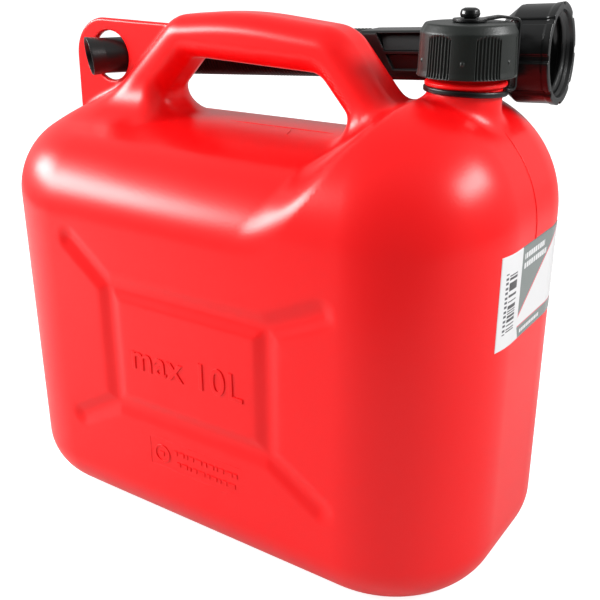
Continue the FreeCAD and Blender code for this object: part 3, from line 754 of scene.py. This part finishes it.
def leash_points():
    """The neck ring, which hangs a little lower on the strap's side, the strap and the eyelet."""
    lean, azimuth = math.radians(3.0), math.radians(LEASH_AZIMUTH)
    out = np.array((math.cos(azimuth), math.sin(azimuth), 0.0))
    across = np.array((-out[1], out[0], 0.0))
    low, eye = LEASH_LOW.z - 0.7, CAP_HIGH.z + 0.3
    ring = lathe(soften([(18.2, low, 0.5), (20.3, low, 0.9), (20.3, low + 2.8, 0.9), (18.2, low + 2.8, 0.5)],
                        True, 0.2), 120, True)
    ring[0][:, 2] -= (ring[0] @ out) * math.tan(lean)
    disc = lathe(soften([(2.8, eye, 0.2), (8.0, eye, 0.4), (8.0, eye + 1.6, 0.5), (2.8, eye + 1.6, 0.3)], True, 0.15),
                 64, True)
    line = soften([(19.2, low + 0.4, 0), (26.1, low + 0.2, 2.4), (26.1, eye + 0.6, 3.0), (16.0, eye + 1.9, 9.0),
                   (6.5, eye + 0.8, 0)], False, 0.4)
    path = [out * r + np.array((0, 0, z)) for r, z in dense_line(line, 0.8)]
    section = soften([(-2.5, -0.7, 0.4), (2.5, -0.7, 0.4), (2.5, 0.7, 0.4), (-2.5, 0.7, 0.4)], True, 0.15)
    return moved(merge(ring, disc, sweep(path, across, section)), (NECK_X, 0, 0))


def button_points():
    """The snap-in button with its domed head and stem."""
    low, top = BUTTON_LOW.z, BUTTON_HIGH.z
    profile = soften([
        (0.01, low, 0), (2.4, low, 0.4), (2.4, top - 4.4, 0.3), (4.2, top - 4.4, 0.6), (4.8, top - 2.9, 1.2),
        (4.3, top - 0.9, 1.2), (2.8, top - 0.05, 1.5), (0.01, top, 0),
    ], False, 0.15)
    return moved(lathe(profile, 64), (NECK_X, 0, 0))


class OBJECT_OT_can_cap(bpy.types.Operator):
    """Build the ribbed screw cap, the liner's finish, the button and the leash"""

    bl_idname = "object.can_cap"
    bl_label = "Cap and leash"

    def execute(self, context):
        add_piece("cap_skin", *cap_points(), cap_material(), "cap_plastic", "cap", ["cap_shell"])
        leash = add_piece("leash_strap", *leash_points(), black_material("leash_finish", 0.30), "leash_plastic",
                          None, ["leash"])
        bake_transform(leash)
        add_piece("button_head", *button_points(), black_material("button_finish", 0.20), "leash_plastic",
                  "cap_button", ["leash_button"])
        liner, tree, shader = new_material("foam_finish", (0.75, 0.74, 0.70), 0.8)
        add_grain(tree, shader, 1800.0, 0.3, 0.0004)
        give_material("cap_liner", liner)
        return {"FINISHED"}


def cap_material():
    """Dark grey-green plastic with paler edges."""
    colour = tuple(colours().cap)
    material, tree, shader = new_material("cap_finish", colour, 0.42, 0.5)
    add_grain(tree, shader, 1100.0, 0.18, 0.0004)
    worn_edges(tree, shader, colour, tuple(c * 3.5 + 0.03 for c in colour), 0.53, 0.60)
    return material


def give_material(node, material):
    """Keeps a fixed piece as it is and gives it a better finish."""
    piece = frame["nodes"][node]
    piece.data.materials.clear()
    piece.data.materials.append(material)


# ---------------------------------------------------------------- the spout

def nut_points():
    """The ring nut: eight finger lobes outside, one thread ridge inside."""
    profile = soften([
        (21.6, 0.0, 0.5), (25.3, 0.0, 0.5), (25.0, -3.0, 1.0), (24.5, -4.2, 1.0), (24.4, -20.5, 1.5),
        (18.4, -28.0, 0.8), (14.4, -28.0, 0.4), (14.4, -21.5, 0), (18.4, -21.5, 0), (18.4, -13.6, 0.3),
        (19.7, -12.6, 0.3), (19.9, -3.4, 0.6), (21.0, -2.0, 0.6),
    ], True, 0.3)
    dense = dense_line(np.concatenate([profile, profile[:1]]), 0.8)[:-1]

    def relief(angle, height, radius):
        degrees = np.degrees(angle)
        off = (degrees + 22.5) % 45.0 - 22.5
        notch = smooth((5.2 - np.abs(off)) / 2.4)
        outside = (radius > 21.5) * smooth((height + 27.0) / 4.0)
        total = -1.5 * notch * outside * smooth((radius - 21.5) / 2.0)
        along = angle / (2 * math.pi)
        for k in range(2):
            centre = -10.5 + THREAD_PITCH * (along + k)
            fade = smooth((along + k) / 0.08) * smooth((THREAD_TURNS - along - k) / 0.08)
            ridge = fade * smooth(1.6 - np.abs(height - centre) / 1.1)
            total = total - np.where((radius < 20.4) & (height > -13.0) & (height < -0.6), 1.7 * ridge, 0.0)
        return total

    return lathe_on_x(lathe(dense, 360, True, relief))


def base_field(x, y, z):
    """The rigid spout base in its own frame: flange, tube and a box with long sunk fields in its sides."""
    r = np.hypot(y, z)
    flange = round_and(r - 18.2, np.abs(x + 19.5) - 1.5, 0.5)
    tube = round_and(r - 13.9, np.abs(x + 25.5) - 7.0, 0.4)
    box = round_and(round_and(np.abs(y) - 13.5, np.abs(z) - 13.0, 2.4), np.abs(x + 69.0) - 39.0, 1.2)
    slant = np.abs(x + 67.0) - 29.0 + np.where(x < -67.0, (9.5 - z) * 0.5, 0.0)
    upper = round_and(slant * 0.9, np.abs(z - 7.1) - 4.5, 0.8)
    floor_up = 13.5 - 0.9 - np.clip(z - 2.6, 0.0, 9.2) * 0.45
    lower = round_and(slant * 0.9, np.abs(z + 3.4) - 3.9, 0.8)
    cut_up = round_and(upper, (floor_up - np.abs(y)) * 0.92, 0.4)
    cut_low = round_and(lower, 11.4 - np.abs(y), 0.4)
    box = np.maximum(box, -np.minimum(cut_up, cut_low))
    shape = soft_or(np.minimum(flange, tube), box, 2.0)
    spigot = np.maximum(r - 9.4, np.abs(x + 114.0) - 7.0)
    shape = np.minimum(shape, spigot)
    bore = round_and(r - 10.0, -102.0 - x, 0.3)
    return np.maximum(shape, -bore)


def base_points():
    """Points, faces and normals of the rigid spout base, along X."""
    axes = [steps((-122, -16, 0.8)), steps((-19.2, 19.2, 0.8)), steps((-19.2, 19.2, 0.8))]
    points, faces = surface_net(base_field, axes)
    points, normals = settle(base_field, points, 4, 0.6, 0.15)
    return points, faces, normals


def hose_points():
    """A corrugated tube along a straight run, one bend and a short straight run to the nozzle."""
    forward, along = np.array(NOZZLE_AXIS), np.array(SPOUT_AXIS)
    centre = np.array(NOZZLE_TIP) - forward * NOZZLE_REACH
    front = centre - forward * HOSE_FRONT
    end = np.array(SPOUT_MOUTH) - along * HOSE_BACK
    corner = centre - forward * (HOSE_LINE_Y - centre[1]) / abs(forward[1])
    turn = math.acos(float(-forward @ along))
    reach = HOSE_BEND * math.tan(turn / 2)
    start, stop = corner + forward * reach, corner + along * reach
    toward = forward + along
    toward /= np.linalg.norm(toward)
    middle = corner + toward * HOSE_BEND / math.cos(turn / 2)
    first, last = start - middle, stop - middle
    pitch, relief = sizes().hose_pitch / MM, sizes().hose_relief / MM
    step = pitch / 8
    run = [front + (start - front) * k for k in np.linspace(0, 1, max(2, int(np.linalg.norm(start - front) / step)))]
    count = int(HOSE_BEND * turn / step)
    for k in range(1, count + 1):
        f = k / count
        run.append(middle + (first * math.sin((1 - f) * turn) + last * math.sin(f * turn)) / math.sin(turn))
    count = int(np.linalg.norm(end - stop) / step)
    run.extend(stop + (end - stop) * k / count for k in range(1, count + 1))
    run = np.array(run)
    travel = np.concatenate([[0], np.cumsum(np.linalg.norm(np.diff(run, axis=0), axis=1))])
    ahead = np.gradient(run, axis=0)
    ahead /= np.linalg.norm(ahead, axis=1)[:, None]
    side = np.cross(ahead, (0, 0, 1.0))
    side /= np.linalg.norm(side, axis=1)[:, None]
    up = np.cross(side, ahead)
    wave = (0.5 - 0.5 * np.cos(2 * math.pi * travel / pitch)) ** 1.3
    outer = HOSE_RADIUS - relief * (1 - wave)
    angle = np.linspace(0, 2 * math.pi, 48, endpoint=False)
    ring = side[:, None, :] * np.cos(angle)[None, :, None] + up[:, None, :] * np.sin(angle)[None, :, None]
    rows = [run[:, None, :] + ring * outer[:, None, None]]
    inner = slice(None, None, -40)
    rows.append(run[inner][:, None, :] + ring[inner] * HOSE_BORE_RADIUS)
    rows = np.concatenate(rows)
    print("hose length", round(float(travel[-1]), 1))
    return rows.reshape(-1, 3), grid_faces(len(rows), 48, True, True)


def nozzle_points():
    """The pouring tip with a slightly flared lip that is cut at a slant."""
    tip = NOZZLE_LENGTH
    profile = soften([
        (8.6, 0.0, 0), (9.3, 0.0, 0.3), (9.3, 9.6, 0), (10.7, 9.6, 0.4), (10.6, 34.0, 4.0), (11.5, tip, 0.3),
        (10.7, tip, 0.3), (8.9, 37.0, 4.0),
    ], True, 0.2)
    points, faces = lathe(dense_line(profile, 1.0), 72, True)
    points[:, 2] += smooth((points[:, 2] - 26.0) / 16.0) * (points[:, 0] - 11.5) * 0.13
    forward, up = np.array(NOZZLE_AXIS), np.array((0, 0, 1.0))
    side = np.cross(up, forward)
    back = np.array(NOZZLE_TIP) - forward * tip
    return back + points[:, :1] * up + points[:, 1:2] * side + points[:, 2:] * forward, faces[:, ::-1]


class OBJECT_OT_can_spout(bpy.types.Operator):
    """Build the stowed spout: ring nut, rigid base, corrugated hose and pouring tip"""

    bl_idname = "object.can_spout"
    bl_label = "Spout"

    def execute(self, context):
        place = along_spout()
        nut = black_material("nut_finish", 0.30, True)
        add_piece("nut_skin", *nut_points(), nut, "nut_plastic", "nut", ["spout_nut"], place)
        black = black_material("spout_finish", 0.34, True)
        points, faces, normals = base_points()
        turned = np.array(place.to_3x3())
        add_piece("spout_box", points @ turned.T + np.array(SPOUT_MOUTH), faces, black, "spout_plastic", "spout",
                  ["spout_base"], normals=normals @ turned.T)
        add_piece("nozzle_tip", *nozzle_points(), black, "spout_plastic", "spout", ["spout_nozzle"])
        hose = black_material("hose_finish", 0.34)
        add_piece("hose_corrugated", *hose_points(), hose, "hose_plastic", "spout", ["spout_hose"])
        rubber, tree, shader = new_material("rubber_finish", (0.018, 0.018, 0.018), 0.55)
        add_grain(tree, shader, 1500.0, 0.25, 0.0004)
        give_material("spout_gasket", rubber)
        return {"FINISHED"}


# ---------------------------------------------------------------- the label

def label_colour(u, v, width, height):
    """Printed colour at u from the left and v from the bottom, both in millimetres."""
    white, grey = np.array(colours().paper), np.array(colours().ink)
    pink, dark = np.array((0.78, 0.12, 0.16)), np.array((0.03, 0.03, 0.035))
    edge = 13.0 + (u - 21.0) * (height - 14.0) / (width - 24.0)
    colour = np.tile(white, (len(u), 1))

    def paint(mask, tone):
        colour[mask] = tone

    field = (u > 21.0) & (v > edge)
    paint((u > 21.0) & (v > edge - 1.3) & (v <= edge), pink)
    paint(field, grey)
    band = 6.6
    left = 21.0 + (band - v) * 0.35
    paint((u > left) & (v < band), grey)
    paint((u > 21.0) & (v >= band) & (v < band + 0.5), pink)
    bars = (u > 7.6) & (u < 15.6) & (v > 8.0) & (v < 39.0)
    place = (v - 8.0) / 0.62
    code = (np.sin(np.floor(place) * 12.9898) * 43758.5453) % 1.0
    paint(bars & (code > 0.46), dark)
    ticks = (u > 4.4) & (u < 6.6) & (v > 8.0) & (v < 39.0) & (v % 2.4 < 1.3)
    paint(ticks, dark * 3)
    for low, start, long in ((41.0, 24.0, 27.0), (36.4, 24.0, 31.0)):
        line = (v > low) & (v < low + 2.9) & (u > start) & (u < start + long) & ((u * 0.62 + low) % 1.9 < 1.45)
        paint(line & field, white)
    line = (v > 2.3) & (v < 4.4) & (u > 25.0) & (u < 52.0) & (u % 2.3 < 1.7)
    paint(line, white)
    return colour


def label_piece():
    """The label round the filler end, with its print painted on its points."""
    wrap = math.radians(14.6)
    flat = 2 * (HALF_WIDTH - CORNER)
    radius = CORNER + 0.32
    arc = radius * wrap
    width = flat + 2 * arc
    low, high = LABEL_LOW.z, LABEL_HIGH.z
    columns, rows = 250, 150
    u = np.linspace(0, width, columns)
    v = np.linspace(0, high - low, rows)
    angle = np.where(u < arc, (u - arc) / radius, np.where(u > arc + flat, (u - arc - flat) / radius, 0.0))
    y = np.where(u < arc, -flat / 2, np.where(u > arc + flat, flat / 2, u - arc - flat / 2))
    centre = HALF_LENGTH - CORNER

    def sheet(r, us, vs):
        a, yy = angle[us], y[us]
        return np.stack([centre + r * np.cos(a), yy + r * np.sin(a), low + vs], -1)

    vv, uu = np.meshgrid(np.arange(rows), np.arange(columns), indexing="ij")
    inset = np.minimum(np.minimum(uu, columns - 1 - uu), np.minimum(vv, rows - 1 - vv))
    r = np.where(inset == 0, CORNER + 0.02, radius)
    points = sheet(r, uu, v[vv]).reshape(-1, 3)
    material, tree, shader = new_material("label_finish", colours().paper, 0.22, 0.5, 0.3)
    attribute = add_node(tree, "ShaderNodeVertexColor", layer_name="print")
    tree.links.new(attribute.outputs["Color"], shader.inputs["Base Color"])
    faces = grid_faces(rows, columns, False)
    piece = add_piece("label_sheet", points, faces, material, "label_film", "can", ["label"])
    tones = label_colour(u[uu].ravel(), v[vv].ravel(), width, high - low)
    layer = piece.data.color_attributes.new("print", "FLOAT_COLOR", "POINT")
    layer.data.foreach_set("color", np.concatenate([tones, np.ones((len(tones), 1))], 1).astype(np.float32).ravel())


class OBJECT_OT_can_label(bpy.types.Operator):
    """Build the printed label round the filler end, with plain bars in place of words"""

    bl_idname = "object.can_label"
    bl_label = "Label"

    def execute(self, context):
        label_piece()
        return {"FINISHED"}


# ---------------------------------------------------------------- floor, light and camera

def area_light(name, place, target, size, power, colour=(1, 1, 1)):
    """A rectangular lamp that faces a target and belongs to the stage."""
    lamp = bpy.data.lights.new(name, "AREA")
    lamp.shape = "RECTANGLE"
    lamp.size, lamp.size_y = size
    lamp.energy = power
    lamp.color = colour
    holder = bpy.data.objects.new(name, lamp)
    holder.location = place
    holder.rotation_euler = (Vector(target) - Vector(place)).to_track_quat("-Z", "Y").to_euler()
    bpy.context.scene.collection.objects.link(holder)
    return holder


def direction(azimuth, elevation):
    """The unit vector at an azimuth from +X and an elevation, in degrees."""
    a, e = math.radians(azimuth), math.radians(elevation)
    return Vector((math.cos(a) * math.cos(e), math.sin(a) * math.cos(e), math.sin(e)))


class OBJECT_OT_can_stage(bpy.types.Operator):
    """Set the pale floor, the light tent and the camera"""

    bl_idname = "object.can_stage"
    bl_label = "Floor, light and camera"

    def execute(self, context):
        scene = context.scene
        yaw, tilt, roll = math.radians(34.046), math.radians(21.960), math.radians(-0.231)
        ahead = Vector((-math.sin(yaw) * math.cos(tilt), math.cos(yaw) * math.cos(tilt), -math.sin(tilt)))
        right = Vector((math.cos(yaw), math.sin(yaw), 0))
        up = right.cross(ahead)
        side = right * math.cos(roll) + up * math.sin(roll)
        top = up * math.cos(roll) - right * math.sin(roll)
        turn = Matrix((side, top, -ahead)).transposed().to_4x4()
        lens = bpy.data.cameras.new("view")
        lens.lens, lens.sensor_width = 53.07, 36.0
        camera = bpy.data.objects.new("view", lens)
        camera.matrix_world = Matrix.Translation((0.2920, -0.4040, 0.3286)) @ turn
        scene.collection.objects.link(camera)
        scene.camera = camera

        front = math.radians(-75.0)
        toward = Vector((math.cos(front), math.sin(front), 0))
        across = Vector((-toward.y, toward.x, 0))
        floor_mesh = bpy.data.meshes.new("floor")
        floor_mesh.from_pydata([toward * a + across * b for a, b in ((-6, -6), (0.45, -6), (0.45, 6), (-6, 6))],
                               [], [(0, 1, 2, 3)])
        floor = bpy.data.objects.new("floor", floor_mesh)
        floor.location.z = -0.0002
        scene.collection.objects.link(floor)
        paper, tree, shader = new_material("floor_paper", (0.58, 0.58, 0.58), 0.6, 0.1)
        shader.inputs["Emission Color"].default_value = (1.0, 1.0, 1.0, 1.0)
        seen = add_node(tree, "ShaderNodeLightPath")
        glow = add_node(tree, "ShaderNodeMapRange")
        glow.inputs["To Min"].default_value = 0.0
        glow.inputs["To Max"].default_value = 0.86
        tree.links.new(seen.outputs["Is Camera Ray"], glow.inputs["Value"])
        tree.links.new(glow.outputs["Result"], shader.inputs["Emission Strength"])
        floor_mesh.materials.append(paper)

        world = bpy.data.worlds.new("tent")
        scene.world = world
        world.use_nodes = True
        tree = world.node_tree
        back = tree.nodes["Background"]
        where = add_node(tree, "ShaderNodeTexCoord")
        facing = add_node(tree, "ShaderNodeVectorMath", operation="DOT_PRODUCT")
        facing.inputs[1].default_value = tuple(direction(-65.0, -2.0))
        spread = add_node(tree, "ShaderNodeMapRange", interpolation_type="SMOOTHSTEP")
        spread.inputs["From Min"].default_value = 0.42
        spread.inputs["From Max"].default_value = 0.94
        spread.inputs["To Min"].default_value = 0.55
        spread.inputs["To Max"].default_value = 0.02
        seen = add_node(tree, "ShaderNodeLightPath")
        mix = add_node(tree, "ShaderNodeMix", data_type="FLOAT")
        mix.inputs["A"].default_value = 0.55
        tree.links.new(where.outputs["Generated"], facing.inputs[0])
        tree.links.new(facing.outputs["Value"], spread.inputs["Value"])
        tree.links.new(seen.outputs["Is Glossy Ray"], mix.inputs["Factor"])
        tree.links.new(spread.outputs["Result"], mix.inputs["B"])
        backdrop = add_node(tree, "ShaderNodeMath", operation="MAXIMUM")
        tree.links.new(mix.outputs["Result"], backdrop.inputs[0])
        tree.links.new(seen.outputs["Is Camera Ray"], backdrop.inputs[1])
        tree.links.new(backdrop.outputs["Value"], back.inputs["Strength"])
        back.inputs["Color"].default_value = (1.0, 1.0, 1.0, 1.0)

        middle = Vector((0, 0, 0.15))
        area_light("soft_left", middle + direction(-150.0, 24.0) * 1.2, middle, (0.85, 0.26), 18.0)
        area_light("soft_right", middle + direction(15.0, 33.0) * 1.2, middle, (0.62, 0.25), 9.5)
        scene.view_settings.view_transform = "Standard"
        return {"FINISHED"}


class VIEW3D_PT_can(bpy.types.Panel):
    """Lists the can's groups and its sizes"""

    bl_label = "Fuel can"
    bl_space_type = "VIEW_3D"
    bl_region_type = "UI"
    bl_category = "Fuel can"

    def draw(self, context):
        layout = self.layout
        for group in (context.scene.can_sizes, context.scene.can_colours):
            box = layout.box()
            for name in group.__annotations__:
                box.prop(group, name)
        for operator in OPERATORS:
            layout.operator(operator.bl_idname)


OPERATORS = (OBJECT_OT_can_tank, OBJECT_OT_can_cap, OBJECT_OT_can_spout, OBJECT_OT_can_label, OBJECT_OT_can_stage)
CLASSES = (CanSizes, CanColours) + OPERATORS + (VIEW3D_PT_can,)


def register():
    """Adds the classes and the scene's settings."""
    for cls in CLASSES:
        bpy.utils.register_class(cls)
    bpy.types.Scene.can_sizes = bpy.props.PointerProperty(type=CanSizes)
    bpy.types.Scene.can_colours = bpy.props.PointerProperty(type=CanColours)


def unregister():
    """Takes the scene's settings and the classes away."""
    del bpy.types.Scene.can_colours
    del bpy.types.Scene.can_sizes
    for cls in reversed(CLASSES):
        bpy.utils.unregister_class(cls)


def write_sizes():
    """Brings the view layer up to date."""
    bpy.context.view_layer.update()


def main():
    register()
    for name in ("Cube", "Light", "Camera"):
        found = bpy.data.objects.get(name)
        if found:
            bpy.data.objects.remove(found)
    bpy.ops.object.can_tank()
    bpy.ops.object.can_cap()
    bpy.ops.object.can_spout()
    bpy.ops.object.can_label()
    bpy.ops.object.can_stage()
    write_sizes()


if __name__ == "__main__":
    main()
